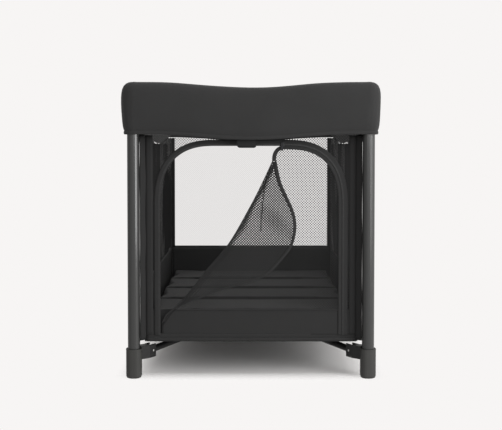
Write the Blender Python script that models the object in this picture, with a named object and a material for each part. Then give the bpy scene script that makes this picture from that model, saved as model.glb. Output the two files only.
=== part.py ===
"""A folding fabric playpen: four posts, eight hinged top rails, four base arms on a centre
hub, a padded top band, net walls, a zipped door in the front wall and a folding mattress.

Metres, +Z up. The origin is on the floor under the middle of the pen. The front wall, with
the door, faces -Y. Left and right are those of someone standing in front of it.
"""

import math

import bmesh
import bpy
from mathutils import Matrix, Vector

# ---------------------------------------------------------------- driving sizes
PEN_HEIGHT = 0.8075     # floor to the top of the band at a corner
POST_X = 0.320          # post axes from the middle, across
POST_Y = 0.480          # post axes from the middle, front to rear
TUBE_SIZE = 0.033       # rounded-square post tube, across the flats
TUBE_CORNER = 0.014
TUBE_WALL = 0.0015
TUBE_FOOT = 0.012       # lower end of the post tube, inside the foot
TUBE_DOWN = 0.058       # top of the band down to the upper end of the post tube

FIT = 0.0003            # clearance between touching pieces
CLOTH_GAP = 0.0005      # clearance between cloth and its neighbour
SLOPE = math.radians(3.0)   # rails fall to their locks, arms rise to the hub

# pivots: each rail and arm ends PIVOT_IN inside its post axis and CENTRE_OUT from the middle
PIVOT_IN = 0.040
CENTRE_OUT = 0.045
RAIL_DOWN = 0.035       # top of the band down to the rail pivots
ARM_PIVOT_Z = 0.068

RAIL_RADIUS = 0.011
RAIL_WALL = 0.0012
ARM_RADIUS = 0.009
ARM_WALL = 0.0015
END_PAST_PIVOT = 0.009  # how far a rail or arm runs on past its pivot
RAIL_CHEEK = 0.004      # wall of a fork beside a rail
ARM_CHEEK = 0.003       # wall of a lug beside an arm
SWING_ROOM = 0.0008     # between a turning end and the bottom of its slot

FOOT_WALL = 0.00445     # wall of a foot round its post
FOOT_HEIGHT = 0.080
FOOT_CORNER = 0.017
FOOT_TOE = 0.007        # rounding under the foot
LUG_HALF_DEEP = 0.018   # a foot's lug above and below its arm pivot

CAST_WALL = 0.0027      # wall of a casting round its post
CAST_CORNER = 0.014
CAST_SKIRT = 0.042      # how far the casting reaches down over the tube
CAST_DOWN = 0.011       # top of the band down to the top of the casting
CAST_EASE = 0.003       # rounding of the casting's top edges

HUB_LUG_OUT = 0.0116    # arm pivots outside the hub's disc
HUB_BELOW = 0.012       # hub thickness below and above its pivots
HUB_ABOVE = 0.014
HUB_EASE = 0.002

LOCK_ABOVE = 0.014      # lock tray above its pivots
LOCK_FLOOR = 0.004
COLUMN_UP = 0.015       # the button's column ends above the band's lower edge
LOCK_CORNER = 0.004
COLUMN_WALL_X = 0.0035  # column walls beside the button
COLUMN_WALL_Y = 0.004
BUTTON_HALF_X = 0.0265
BUTTON_HALF_Y = 0.0085
BUTTON_EASE = 0.0075    # rounding of the thumb pad
BUTTON_ASIDE = 0.0115   # button off the middle of its lock, to the left or the front
BUTTON_SHOW = 0.024     # how far the button hangs out under the band
BUTTON_REACH = 0.054    # height of the button
BUTTON_TRAVEL = 0.007
BUTTON_SLACK = 0.0015   # pocket above the pressed button

BAND_ROOM_OUT = 0.008   # room inside the band, outside and inside the castings
BAND_ROOM_IN = 0.0045
BAND_CLOTH = 0.004
BAND_DEPTH = 0.1425
BAND_END = 0.050        # where the corner pad ends, from the post axis
BAND_CORNER = 0.035     # rounding of the corner pad in plan

WALL_CLOTH = 0.002
FLOOR_OVER_HUB = 0.006  # floor cloth above the hub
FLOOR_CLOTH = 0.002
WALL_HEM = 0.018        # walls reach below the floor cloth

MATTRESS_DEEP = 0.0655
MATTRESS_EDGE = 0.005   # mattress clear of the walls
MATTRESS_CORNER = 0.008
CREASE = 0.001          # gap between two mattress panels

# the doorway and its door, in the plane of the front wall (x, z)
DOOR_SIDE = 0.0385      # wall cloth beside the doorway
DOOR_HEAD = 0.0113      # wall cloth over the middle of the doorway
DOOR_SILL = 0.018       # wall cloth under the doorway
DOOR_CORNER = Vector((0.155, 0.170))    # width and height of a rounded upper corner
DOOR_BEND = 2.5         # 2 makes the corners elliptical, more makes them fuller
ZIP_GAP = 0.0015
FOLD_TOP_X = 0.0584     # the fold's upper end
FOLD_TOP_DOWN = 0.046   # and how far it is below the doorway's top
FOLD_FOOT_IN = 0.006    # the fold's foot from the doorway's lower left corner
FOLD_FOOT_UP = 0.026
FOLD_BOW = 0.024        # how far the fold bows away from its straight line
FLAP_CORNER_X = 0.140
FLAP_CORNER_UP = 0.238  # the flap's free corner above the foot of the doorway
FLAP_ROUND = 0.085
FLAP_OUT = 0.006        # flap cloth in front of the wall cloth

SLIDER_SIZE = Vector((0.010, 0.004, 0.014))
SLIDER_ASIDE = 0.004    # slider to the left of where the fold's line meets the zip
SLIDER_EASE = 0.0012
PULL_SIZE = Vector((0.006, 0.0014, 0.018))
PULL_GAP = 0.0006

CUT_PAST = 0.1          # how far a cutter runs on past what it cuts

# ---------------------------------------------------------------- worked out from those
REACH_X = POST_X - PIVOT_IN - CENTRE_OUT
REACH_Y = POST_Y - PIVOT_IN - CENTRE_OUT
ARM_REACH = math.hypot(REACH_X, REACH_Y)
HUB_PIVOT_Z = ARM_PIVOT_Z + ARM_REACH * math.tan(SLOPE)
RAIL_PIVOT_Z = PEN_HEIGHT - RAIL_DOWN
TUBE_TOP = PEN_HEIGHT - TUBE_DOWN
CAST_CROWN = PEN_HEIGHT - CAST_DOWN
BAND_BOTTOM = PEN_HEIGHT - BAND_DEPTH
FOOT_SIZE = TUBE_SIZE + 2 * (FIT + FOOT_WALL)
CAST_SIZE = TUBE_SIZE + 2 * (FIT + CAST_WALL)
BAND_OUT = CAST_SIZE / 2 + BAND_ROOM_OUT + BAND_CLOTH     # band faces from the post axes
BAND_IN = CAST_SIZE / 2 + BAND_ROOM_IN + BAND_CLOTH
LUG_BOTTOM = ARM_PIVOT_Z - LUG_HALF_DEEP
LUG_TOP = ARM_PIVOT_Z + LUG_HALF_DEEP
HUB_RADIUS = math.hypot(CENTRE_OUT, CENTRE_OUT) - HUB_LUG_OUT
RAIL_SWING = math.hypot(END_PAST_PIVOT, RAIL_RADIUS) + SWING_ROOM
ARM_SWING = math.hypot(END_PAST_PIVOT, ARM_RADIUS) + SWING_ROOM
FORK_HALF = RAIL_RADIUS + FIT + RAIL_CHEEK
LUG_HALF = ARM_RADIUS + FIT + ARM_CHEEK
LOCK_BELOW = RAIL_SWING + LOCK_FLOOR
LOCK_COLUMN = BAND_DEPTH - RAIL_DOWN - COLUMN_UP
BUTTON_DROP = BAND_DEPTH - RAIL_DOWN + BUTTON_SHOW
WALL_X = POST_X - BAND_IN      # the walls hang under the band's inner face
WALL_Y = POST_Y - BAND_IN
WALL_TOP = BAND_BOTTOM - 2 * CLOTH_GAP
FLOOR_BOTTOM = HUB_PIVOT_Z + HUB_ABOVE + FLOOR_OVER_HUB
WALL_BOTTOM = FLOOR_BOTTOM - WALL_HEM
MATTRESS_BOTTOM = FLOOR_BOTTOM + FLOOR_CLOTH + CLOTH_GAP
MATTRESS_TOP = MATTRESS_BOTTOM + MATTRESS_DEEP
DOOR_HALF = WALL_X - DOOR_SIDE
DOOR_TOP = WALL_TOP - (REACH_X + CENTRE_OUT) * math.tan(SLOPE) - DOOR_HEAD
DOOR_BOTTOM = WALL_BOTTOM + DOOR_SILL
FOLD_TOP = Vector((FOLD_TOP_X, DOOR_TOP - FOLD_TOP_DOWN))
FOLD_FOOT = Vector((FOLD_FOOT_IN - DOOR_HALF, DOOR_BOTTOM + FOLD_FOOT_UP))
FLAP_CORNER = Vector((FLAP_CORNER_X, DOOR_BOTTOM + FLAP_CORNER_UP))
CORNERS = {
    "front_left": (-1, -1),
    "front_right": (1, -1),
    "rear_left": (-1, 1),
    "rear_right": (1, 1),
}


# ---------------------------------------------------------------- building helpers
def finish(name, colour, roughness, metallic=0.0):
    """One Principled material, its colour given as linear RGB."""
    made = bpy.data.materials.new(name)
    made.use_nodes = True
    shader = made.node_tree.nodes["Principled BSDF"]
    shader.inputs["Base Color"].default_value = (*colour, 1.0)
    shader.inputs["Roughness"].default_value = roughness
    shader.inputs["Metallic"].default_value = metallic
    return made


def joint_point(name, place, parent=None):
    """An empty on a joint's axis, which carries that joint's pieces."""
    empty = bpy.data.objects.new(name, None)
    empty.empty_display_size = 0.02
    bpy.context.scene.collection.objects.link(empty)
    empty.parent = parent
    empty["place"] = list(place)
    origin = Vector(parent["place"]) if parent else Vector()
    empty.location = Vector(place) - origin
    return empty


def piece(name, bm, look, carrier=None, place=(0, 0, 0), turn=0.0):
    """Makes one object of a bmesh, at a world place, turned about Z, on its joint's empty."""
    bmesh.ops.recalc_face_normals(bm, faces=bm.faces)
    mesh = bpy.data.meshes.new(name)
    bm.to_mesh(mesh)
    bm.free()
    mesh.shade_smooth()
    mesh.set_sharp_from_angle(angle=math.radians(35))
    if look:
        mesh.materials.append(look)
    obj = bpy.data.objects.new(name, mesh)
    bpy.context.scene.collection.objects.link(obj)
    obj.parent = carrier
    origin = Vector(carrier["place"]) if carrier else Vector()
    obj.location = Vector(place) - origin
    obj.rotation_euler = (0, 0, turn)
    return obj


def combine(target, operation, tool_name, bm, place=(0, 0, 0), turn=0.0):
    """Adds a tool's shape to a piece, or takes it away, with an exact Boolean."""
    tool = piece(tool_name, bm, None, None, place, turn)
    tool.hide_render = True
    tool.display_type = "WIRE"
    step = target.modifiers.new(tool_name, "BOOLEAN")
    step.operation = operation
    step.object = tool


def block(low, high):
    """A box between two corners."""
    low, high = Vector(low), Vector(high)
    bm = bmesh.new()
    bmesh.ops.create_cube(bm, size=1.0)
    bmesh.ops.scale(bm, vec=high - low, verts=bm.verts)
    bmesh.ops.translate(bm, vec=(low + high) / 2, verts=bm.verts)
    return bm


def round_edges(bm, wanted, radius, steps):
    """Rounds the edges that a test picks."""
    edges = [e for e in bm.edges if wanted(*(v.co for v in e.verts))]
    bmesh.ops.bevel(
        bm, geom=edges, offset=radius, segments=steps, affect="EDGES",
        profile=0.5, clamp_overlap=True, material=-1,
    )


def upright(a, b):
    return abs(a.z - b.z) > 1e-6 and abs(a.x - b.x) + abs(a.y - b.y) < 1e-6


def rounded_post(half, low, high, corner, steps=5):
    """A rounded-square bar standing on the axis."""
    bm = block((-half, -half, low), (half, half, high))
    round_edges(bm, upright, corner, steps)
    return bm


def prism(outline, thickness, standing=False):
    """A plate from an outline: lying on z = 0, or standing, centred on y = 0."""
    bm = bmesh.new()
    face = bm.faces.new([bm.verts.new((x, y, 0.0)) for x, y in outline])
    made = bmesh.ops.extrude_face_region(bm, geom=[face])
    moved = [v for v in made["geom"] if isinstance(v, bmesh.types.BMVert)]
    bmesh.ops.translate(bm, vec=(0, 0, thickness), verts=moved)
    if standing:
        bmesh.ops.translate(bm, vec=(0, 0, -thickness / 2), verts=bm.verts)
        upright_turn = Matrix.Rotation(math.radians(90), 3, "X")
        bmesh.ops.rotate(bm, matrix=upright_turn, verts=bm.verts)
    return bm


def bar(radius, start, end, sides=20, capped=True):
    """A round bar between two points, or the bare skin of one."""
    start, end = Vector(start), Vector(end)
    bm = bmesh.new()
    bmesh.ops.create_cone(
        bm, cap_ends=capped, segments=sides, radius1=radius, radius2=radius,
        depth=(end - start).length,
    )
    turn = Vector((0, 0, 1)).rotation_difference(end - start).to_matrix()
    bmesh.ops.rotate(bm, matrix=turn, verts=bm.verts)
    bmesh.ops.translate(bm, vec=(start + end) / 2, verts=bm.verts)
    return bm


def arc(centre, radius, first, last, steps):
    """Points on an arc, angles in degrees."""
    points = []
    for i in range(steps + 1):
        angle = math.radians(first + (last - first) * i / steps)
        points.append(Vector(centre) + radius * Vector((math.cos(angle), math.sin(angle))))
    return points


def fillet(before, corner, after, radius, steps):
    """Points that round off one corner of an outline."""
    a = (before - corner).normalized()
    b = (after - corner).normalized()
    half = a.angle(b) / 2
    centre = corner + (a + b).normalized() * (radius / math.sin(half))
    first = corner + a * (radius / math.tan(half)) - centre
    last = corner + b * (radius / math.tan(half)) - centre
    turn = first.angle_signed(last)
    return [centre + Matrix.Rotation(-turn * i / steps, 2) @ first for i in range(steps + 1)]


def slotted_lug(along, behind, ahead, half, low, high):
    """A block along a level direction from a pivot at the origin."""
    bm = block((-behind, -half, low), (ahead, half, high))
    turn = Matrix.Rotation(math.atan2(along.y, along.x), 3, "Z")
    bmesh.ops.rotate(bm, matrix=turn, verts=bm.verts)
    return bm


# ---------------------------------------------------------------- finishes
for old in list(bpy.data.objects):
    bpy.data.objects.remove(old, do_unlink=True)

TUBE_PAINT = finish("painted aluminium, graphite", (0.045, 0.046, 0.048), 0.42, 0.4)
STEEL_PAINT = finish("painted steel, black", (0.020, 0.020, 0.021), 0.45, 0.3)
FOOT_PLASTIC = finish("polypropylene, dark grey", (0.060, 0.060, 0.058), 0.55)
CAST_PLASTIC = finish("nylon, black", (0.012, 0.012, 0.013), 0.5)
BUTTON_PLASTIC = finish("acetal, black", (0.016, 0.016, 0.017), 0.4)
BAND_CLOTH_LOOK = finish("padded polyester, charcoal", (0.038, 0.038, 0.040), 0.85)
NET_LOOK = finish("polyester net, black", (0.016, 0.016, 0.017), 0.9)
FLOOR_LOOK = finish("coated polyester, charcoal", (0.026, 0.026, 0.027), 0.8)
MATTRESS_LOOK = finish("quilted polyester, charcoal", (0.030, 0.030, 0.031), 0.9)
ZIP_METAL = finish("zinc, black nickel", (0.10, 0.10, 0.11), 0.35, 0.9)


# ---------------------------------------------------------------- joints
def corner_place(corner, inward, height):
    """A point inside a post axis, the same distance in both directions."""
    sx, sy = CORNERS[corner]
    return Vector((sx * (POST_X - inward), sy * (POST_Y - inward), height))


def hub_place(corner):
    sx, sy = CORNERS[corner]
    return Vector((sx * CENTRE_OUT, sy * CENTRE_OUT, HUB_PIVOT_Z))


# The front left post stands still. Its arm carries the hub, the hub carries the other
# arms, and each of those arms carries its post.
first_foot = corner_place("front_left", PIVOT_IN, ARM_PIVOT_Z)
arms = {"front_left": joint_point("joint_arm_front_left", first_foot)}
hub_joint = joint_point("joint_hub", hub_place("front_left"), arms["front_left"])
posts = {"front_left": None}
for corner in CORNERS:
    if corner != "front_left":
        arms[corner] = joint_point(f"joint_arm_{corner}", hub_place(corner), hub_joint)
        at_foot = corner_place(corner, PIVOT_IN, ARM_PIVOT_Z)
        posts[corner] = joint_point(f"joint_post_{corner}", at_foot, arms[corner])


# ---------------------------------------------------------------- posts and feet
def give_wall(skin, thickness):
    """Turns a skin with open ends into a tube, its wall on the inside."""
    wall = skin.modifiers.new("wall", "SOLIDIFY")
    wall.thickness = thickness
    wall.offset = -1


def add_post(corner):
    """Post tube: a rounded-square shell, open at both ends."""
    sx, sy = CORNERS[corner]
    bm = rounded_post(TUBE_SIZE / 2, TUBE_FOOT, TUBE_TOP, TUBE_CORNER)
    ends = [f for f in bm.faces if abs(f.normal.z) > 0.9]
    bmesh.ops.delete(bm, geom=ends, context="FACES_ONLY")
    tube = piece(f"post_{corner}", bm, TUBE_PAINT, posts[corner], (sx * POST_X, sy * POST_Y, 0))
    give_wall(tube, TUBE_WALL)


def arm_heading(corner):
    """Level direction from a foot to the hub."""
    sx, sy = CORNERS[corner]
    return Vector((-sx * REACH_X, -sy * REACH_Y)) / ARM_REACH


def add_foot(corner):
    """Foot: a boot on the post, with a slotted lug that holds the base arm."""
    sx, sy = CORNERS[corner]
    axis = Vector((sx * POST_X, sy * POST_Y, 0))
    half = FOOT_SIZE / 2
    bm = rounded_post(half, 0.0, FOOT_HEIGHT, FOOT_CORNER)
    round_edges(bm, lambda a, b: max(a.z, b.z) < 1e-6, FOOT_TOE, 2)
    foot = piece(f"foot_{corner}", bm, FOOT_PLASTIC, posts[corner], axis)

    along = arm_heading(corner)
    across = Vector((-along.y, along.x))
    pivot = corner_place(corner, PIVOT_IN, 0).xy
    front = pivot + along * (ARM_RADIUS + ARM_CHEEK / 2)
    back = pivot - along * (ARM_SWING + ARM_CHEEK)
    root = half - FIT
    flank = [axis.xy + Vector((-sx * root, 0)), axis.xy + Vector((0, -sy * root))]
    if (flank[0] - front).dot(across) > (flank[1] - front).dot(across):
        flank.reverse()
    outline = [
        front + across * LUG_HALF, front - across * LUG_HALF, back - across * LUG_HALF,
        *flank, back + across * LUG_HALF,
    ]
    lug = prism(outline, LUG_TOP - LUG_BOTTOM)
    combine(foot, "UNION", f"shape_lug_{corner}", lug, (0, 0, LUG_BOTTOM))
    slot = slotted_lug(along, ARM_SWING, 2 * ARM_SWING, ARM_RADIUS + FIT, 0.0, 2 * LUG_TOP)
    combine(foot, "DIFFERENCE", f"cut_lug_{corner}", slot, (pivot.x, pivot.y, 0))
    socket = rounded_post(
        TUBE_SIZE / 2 + FIT, TUBE_FOOT - FIT, 2 * FOOT_HEIGHT, TUBE_CORNER + FIT
    )
    combine(foot, "DIFFERENCE", f"cut_socket_{corner}", socket, axis)


# ---------------------------------------------------------------- base arms and hub
def add_arm(corner):
    """Base arm: a round steel tube from the foot's lug to the hub's lug."""
    low = corner_place(corner, PIVOT_IN, ARM_PIVOT_Z)
    high = hub_place(corner)
    along = (high - low).normalized() * END_PAST_PIVOT
    carrier = arms[corner]
    origin = Vector(carrier["place"])
    bm = bar(ARM_RADIUS, low - along - origin, high + along - origin, capped=False)
    give_wall(piece(f"arm_{corner}", bm, STEEL_PAINT, carrier, origin), ARM_WALL)


def add_hub():
    """Hub: a moulded disc with four slotted lugs, one for each arm."""
    bm = bar(HUB_RADIUS, (0, 0, -HUB_BELOW), (0, 0, HUB_ABOVE), sides=40)
    round_edges(bm, lambda a, b: abs(a.z - b.z) < 1e-6, HUB_EASE, 1)
    hub = piece("hub", bm, CAST_PLASTIC, hub_joint, (0, 0, HUB_PIVOT_Z))
    for corner in CORNERS:
        at = hub_place(corner)
        outward = -arm_heading(corner)
        lug = slotted_lug(
            outward, ARM_SWING + 2 * ARM_CHEEK, ARM_RADIUS + ARM_CHEEK / 2, LUG_HALF,
            -HUB_BELOW + FIT, HUB_ABOVE - FIT,
        )
        combine(hub, "UNION", f"shape_hub_{corner}", lug, at)
    for corner in CORNERS:
        at = hub_place(corner)
        outward = -arm_heading(corner)
        slot = slotted_lug(
            outward, ARM_SWING, 2 * ARM_SWING, ARM_RADIUS + FIT, -2 * HUB_BELOW, 2 * HUB_ABOVE
        )
        combine(hub, "DIFFERENCE", f"cut_hub_{corner}", slot, at)


# ---------------------------------------------------------------- corner castings
def add_casting(corner):
    """Corner casting: a cap on the post tube with a fork for each of two rails."""
    sx, sy = CORNERS[corner]
    axis = Vector((sx * POST_X, sy * POST_Y, 0))
    bm = rounded_post(CAST_SIZE / 2, TUBE_TOP - CAST_SKIRT, CAST_CROWN, CAST_CORNER)
    round_edges(bm, lambda a, b: min(a.z, b.z) > CAST_CROWN - 1e-6, CAST_EASE, 2)
    casting = piece(f"corner_{corner}", bm, CAST_PLASTIC, posts[corner], axis)
    fork_end = END_PAST_PIVOT + RAIL_CHEEK
    for side, inward in (("x", Vector((-sx, 0))), ("y", Vector((0, -sy)))):
        at = Vector((*(axis.xy + inward * PIVOT_IN), RAIL_PIVOT_Z))
        fork = slotted_lug(
            inward, PIVOT_IN, fork_end, FORK_HALF,
            -RAIL_RADIUS - 2 * FIT, RAIL_RADIUS + 2 * FIT,
        )
        combine(casting, "UNION", f"shape_fork_{side}_{corner}", fork, at)
        slot = slotted_lug(
            inward, RAIL_SWING, 2 * fork_end, RAIL_RADIUS + FIT, -CUT_PAST, CUT_PAST
        )
        combine(casting, "DIFFERENCE", f"cut_fork_{side}_{corner}", slot, at)
    socket = rounded_post(TUBE_SIZE / 2 + FIT, TUBE_TOP / 2, TUBE_TOP + FIT, TUBE_CORNER + FIT)
    combine(casting, "DIFFERENCE", f"cut_cap_{corner}", socket, axis)


# ---------------------------------------------------------------- top rails and locks
class Side:
    """One side of the pen: two rail halves, a lock between them, and the band over them."""

    def __init__(self, name, middle, along, reach, halves):
        self.name = name
        self.middle = Vector(middle)
        self.along = Vector(along)
        self.reach = reach
        self.halves = halves
        self.lock_z = RAIL_PIVOT_Z - reach * math.tan(SLOPE)

    def pivot(self, sign):
        """Where a half turns on its corner casting."""
        out = self.middle + self.along * sign * (self.reach + CENTRE_OUT)
        return Vector((out.x, out.y, RAIL_PIVOT_Z))

    def lock_pivot(self, sign):
        out = self.middle + self.along * sign * CENTRE_OUT
        return Vector((out.x, out.y, self.lock_z))


SIDES = [
    Side("front", (0, -POST_Y), (1, 0), REACH_X, {-1: "front_left", 1: "front_right"}),
    Side("rear", (0, POST_Y), (1, 0), REACH_X, {-1: "rear_left", 1: "rear_right"}),
    Side("left", (-POST_X, 0), (0, 1), REACH_Y, {-1: "front_left", 1: "rear_left"}),
    Side("right", (POST_X, 0), (0, 1), REACH_Y, {-1: "front_right", 1: "rear_right"}),
]


def add_rail(side, sign, carrier):
    """Rail half: a round steel tube from the corner fork to the lock."""
    origin = side.pivot(sign)
    far = side.lock_pivot(sign) - origin
    along = far.normalized() * END_PAST_PIVOT
    corner = side.halves[sign]
    bm = bar(RAIL_RADIUS, -along, far + along, capped=False)
    give_wall(piece(f"rail_{side.name}_of_{corner}", bm, STEEL_PAINT, carrier, origin), RAIL_WALL)


def add_lock(side, carrier):
    """Rail lock: a tray between two cheeks, with a column below for its button."""
    turn = math.atan2(side.along.y, side.along.x)
    at = Vector((side.middle.x, side.middle.y, side.lock_z))
    end = CENTRE_OUT + END_PAST_PIVOT + RAIL_CHEEK
    bm = block((-end, -FORK_HALF, -LOCK_BELOW), (end, FORK_HALF, LOCK_ABOVE))
    round_edges(bm, upright, LOCK_CORNER, 2)
    lock = piece(f"lock_{side.name}", bm, CAST_PLASTIC, carrier, at, turn)
    column_x = BUTTON_HALF_X + COLUMN_WALL_X
    column_y = BUTTON_HALF_Y + COLUMN_WALL_Y
    column = block(
        (-column_x - BUTTON_ASIDE, -column_y, -LOCK_COLUMN),
        (column_x - BUTTON_ASIDE, column_y, -LOCK_BELOW + LOCK_FLOOR),
    )
    round_edges(column, upright, LOCK_CORNER, 2)
    combine(lock, "UNION", f"shape_column_{side.name}", column, at, turn)
    inner = CENTRE_OUT - RAIL_SWING
    for sign in (-1, 1):
        near, far = sorted((sign * inner, sign * 2 * end))
        slot = block(
            (near, -RAIL_RADIUS - FIT, -LOCK_BELOW + LOCK_FLOOR),
            (far, RAIL_RADIUS + FIT, 2 * LOCK_ABOVE),
        )
        combine(lock, "DIFFERENCE", f"cut_rail_{side.name}_{sign + 1}", slot, at, turn)
    button_top = -BUTTON_DROP + BUTTON_REACH
    pocket = block(
        (-BUTTON_HALF_X - FIT - BUTTON_ASIDE, -BUTTON_HALF_Y - FIT, -2 * LOCK_COLUMN),
        (
            BUTTON_HALF_X + FIT - BUTTON_ASIDE, BUTTON_HALF_Y + FIT,
            button_top + BUTTON_TRAVEL + BUTTON_SLACK,
        ),
    )
    combine(lock, "DIFFERENCE", f"cut_pocket_{side.name}", pocket, at, turn)


def add_button(side, carrier):
    """Release button: a plunger under the lock, its lower end a rounded thumb pad."""
    turn = math.atan2(side.along.y, side.along.x)
    middle = side.middle - side.along * BUTTON_ASIDE
    at = Vector((middle.x, middle.y, side.lock_z - BUTTON_DROP))
    bm = block((-BUTTON_HALF_X, -BUTTON_HALF_Y, 0), (BUTTON_HALF_X, BUTTON_HALF_Y, BUTTON_REACH))
    round_edges(bm, lambda a, b: max(a.z, b.z) < 1e-6, BUTTON_EASE, 3)
    piece(f"button_{side.name}", bm, BUTTON_PLASTIC, carrier, at, turn)


# ---------------------------------------------------------------- padded band
def add_band_half(side, sign, carrier):
    """Band sleeve on a rail half: a channel, open below, that falls with its rail."""
    origin = side.pivot(sign)
    inward = -sign * side.along
    outward = side.middle.normalized()
    start = BAND_END - PIVOT_IN + CLOTH_GAP
    end = side.reach + CENTRE_OUT - CLOTH_GAP
    top = RAIL_DOWN
    low = RAIL_DOWN - BAND_DEPTH
    channel = [
        (BAND_OUT, low), (BAND_OUT, top), (-BAND_IN, top), (-BAND_IN, low),
        (-BAND_IN + BAND_CLOTH, low), (-BAND_IN + BAND_CLOTH, top - BAND_CLOTH),
        (BAND_OUT - BAND_CLOTH, top - BAND_CLOTH), (BAND_OUT - BAND_CLOTH, low),
    ]
    bm = bmesh.new()
    rings = []
    for run in (start, end):
        ring = []
        for out, up in channel:
            spot = inward * run + outward * out
            ring.append(bm.verts.new((spot.x, spot.y, up - run * math.tan(SLOPE))))
        rings.append([bm.edges.new((a, b)) for a, b in zip(ring, ring[1:] + ring[:1])])
        bm.faces.new(ring)
    bmesh.ops.bridge_loops(bm, edges=rings[0] + rings[1])
    corner = side.halves[sign]
    piece(f"band_{side.name}_of_{corner}", bm, BAND_CLOTH_LOOK, carrier, origin)


def corner_plan(cloth, end, corner):
    """Outline of a corner pad in plan: inward distances from the post, less a thickness."""
    sx, sy = CORNERS[corner]
    out, inner = -BAND_OUT + cloth, BAND_IN - cloth
    radius = BAND_CORNER - cloth
    bend = arc((out + radius, out + radius), radius, 270, 180, 6)
    points = [Vector((end, out)), *bend, Vector((out, end))]
    points += [Vector((inner, end)), Vector((inner, inner)), Vector((end, inner))]
    return [(-sx * p.x, -sy * p.y) for p in points]


def add_band_corner(corner):
    """Corner pad of the band: a hollow right-angled cap over the casting."""
    sx, sy = CORNERS[corner]
    axis = Vector((sx * POST_X, sy * POST_Y, 0))
    bm = prism(corner_plan(0.0, BAND_END, corner), BAND_DEPTH)
    place = axis + Vector((0, 0, BAND_BOTTOM))
    pad = piece(f"band_corner_{corner}", bm, BAND_CLOTH_LOOK, posts[corner], place)
    hollow = prism(corner_plan(BAND_CLOTH, 2 * BAND_END, corner), BAND_DEPTH)
    below = axis + Vector((0, 0, BAND_BOTTOM - BAND_CLOTH))
    combine(pad, "DIFFERENCE", f"cut_pad_{corner}", hollow, below)


# ---------------------------------------------------------------- walls and floor
def wall_outline(half, reach):
    """A wall's outline: its top edge follows the underside of the band."""
    knee = reach + CENTRE_OUT
    low = WALL_TOP - knee * math.tan(SLOPE)
    top = [(half, WALL_TOP), (knee, WALL_TOP), (0, low), (-knee, WALL_TOP), (-half, WALL_TOP)]
    return [(-half, WALL_BOTTOM), (half, WALL_BOTTOM)] + top


def add_wall(name, half, reach, carrier, place, turn=0.0):
    bm = prism(wall_outline(half, reach), WALL_CLOTH, standing=True)
    return piece(name, bm, NET_LOOK, carrier, place, turn)


def doorway(inset, steps=10):
    """Outline of the doorway: straight sides, a level top and two full corners."""
    half = DOOR_HALF - inset
    low = DOOR_BOTTOM + inset
    size = DOOR_CORNER - Vector((inset, inset))
    centre = Vector((half, DOOR_TOP - inset)) - size
    right = []
    for i in range(steps + 1):
        angle = math.radians(90 * i / steps)
        across = abs(math.cos(angle)) ** (2 / DOOR_BEND)
        up = abs(math.sin(angle)) ** (2 / DOOR_BEND)
        right.append(centre + Vector((size.x * across, size.y * up)))
    left = [Vector((-p.x, p.y)) for p in reversed(right)]
    return [Vector((-half, low)), Vector((half, low)), *right, *left]


def fold_curve(past=0.0, steps=12):
    """The door's fold, from its upper end to its foot, run on past both ends."""
    along = (FOLD_FOOT - FOLD_TOP).normalized()
    bow = Vector((-along.y, along.x)) * FOLD_BOW
    points = []
    for i in range(steps + 1):
        share = i / steps
        points.append(FOLD_TOP.lerp(FOLD_FOOT, share) + bow * math.sin(math.pi * share))
    if past:
        points = [FOLD_TOP - along * past, *points, FOLD_FOOT + along * past]
    return points


def add_front_wall():
    """Front wall: the cloth around the doorway."""
    half = WALL_X - WALL_CLOTH / 2 - CLOTH_GAP
    wall = add_wall("wall_front", half, REACH_X, posts["front_left"], (0, -WALL_Y, 0))
    gap = prism(doorway(0.0), CUT_PAST, standing=True)
    combine(wall, "DIFFERENCE", "cut_doorway", gap, (0, -WALL_Y, 0))


def add_door_leaf():
    """Door leaf: the part of the door that is still zipped in."""
    bm = prism(doorway(ZIP_GAP), WALL_CLOTH, standing=True)
    leaf = piece("door_leaf", bm, NET_LOOK, posts["front_left"], (0, -WALL_Y, 0))
    edge = fold_curve(past=CUT_PAST)
    far = -DOOR_HALF - CUT_PAST
    over = DOOR_TOP + CUT_PAST
    opening = edge + [Vector((far, edge[-1].y)), Vector((far, over)), Vector((edge[0].x, over))]
    tool = prism(opening, CUT_PAST, standing=True)
    combine(leaf, "DIFFERENCE", "cut_opening", tool, (0, -WALL_Y, 0))


def add_door_flap(carrier):
    """Door flap: the unzipped part, turned back over the leaf about the fold."""
    edge = fold_curve()
    free = fillet(FOLD_FOOT, FLAP_CORNER, FOLD_TOP, FLAP_ROUND, 8)
    middle = Vector(carrier["place"])
    outline = [p - middle.xz for p in edge + free]
    bm = prism(outline, WALL_CLOTH, standing=True)
    bmesh.ops.translate(bm, vec=(0, -FLAP_OUT / 2, 0), verts=bm.verts)
    piece("door_flap", bm, NET_LOOK, carrier, middle)


def add_floor():
    """Floor sling: the cloth bottom that the mattress lies on."""
    x = WALL_X - WALL_CLOTH / 2 - CLOTH_GAP
    y = WALL_Y - WALL_CLOTH / 2 - CLOTH_GAP
    bm = block((-x, -y, FLOOR_BOTTOM), (x, y, FLOOR_BOTTOM + FLOOR_CLOTH))
    piece("floor_sling", bm, FLOOR_LOOK, hub_joint)


# ---------------------------------------------------------------- mattress
def add_mattress_panel(name, carrier, near, far):
    """One mattress panel, between two distances from the middle crease."""
    low, high = sorted((near, far))
    half = WALL_X - MATTRESS_EDGE
    bm = block(
        (-half, low + CREASE / 2, MATTRESS_BOTTOM), (half, high - CREASE / 2, MATTRESS_TOP)
    )
    round_edges(bm, lambda a, b: True, MATTRESS_CORNER, 2)
    origin = Vector(carrier["place"])
    bmesh.ops.translate(bm, vec=-origin, verts=bm.verts)
    piece(name, bm, MATTRESS_LOOK, carrier, origin)


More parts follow.
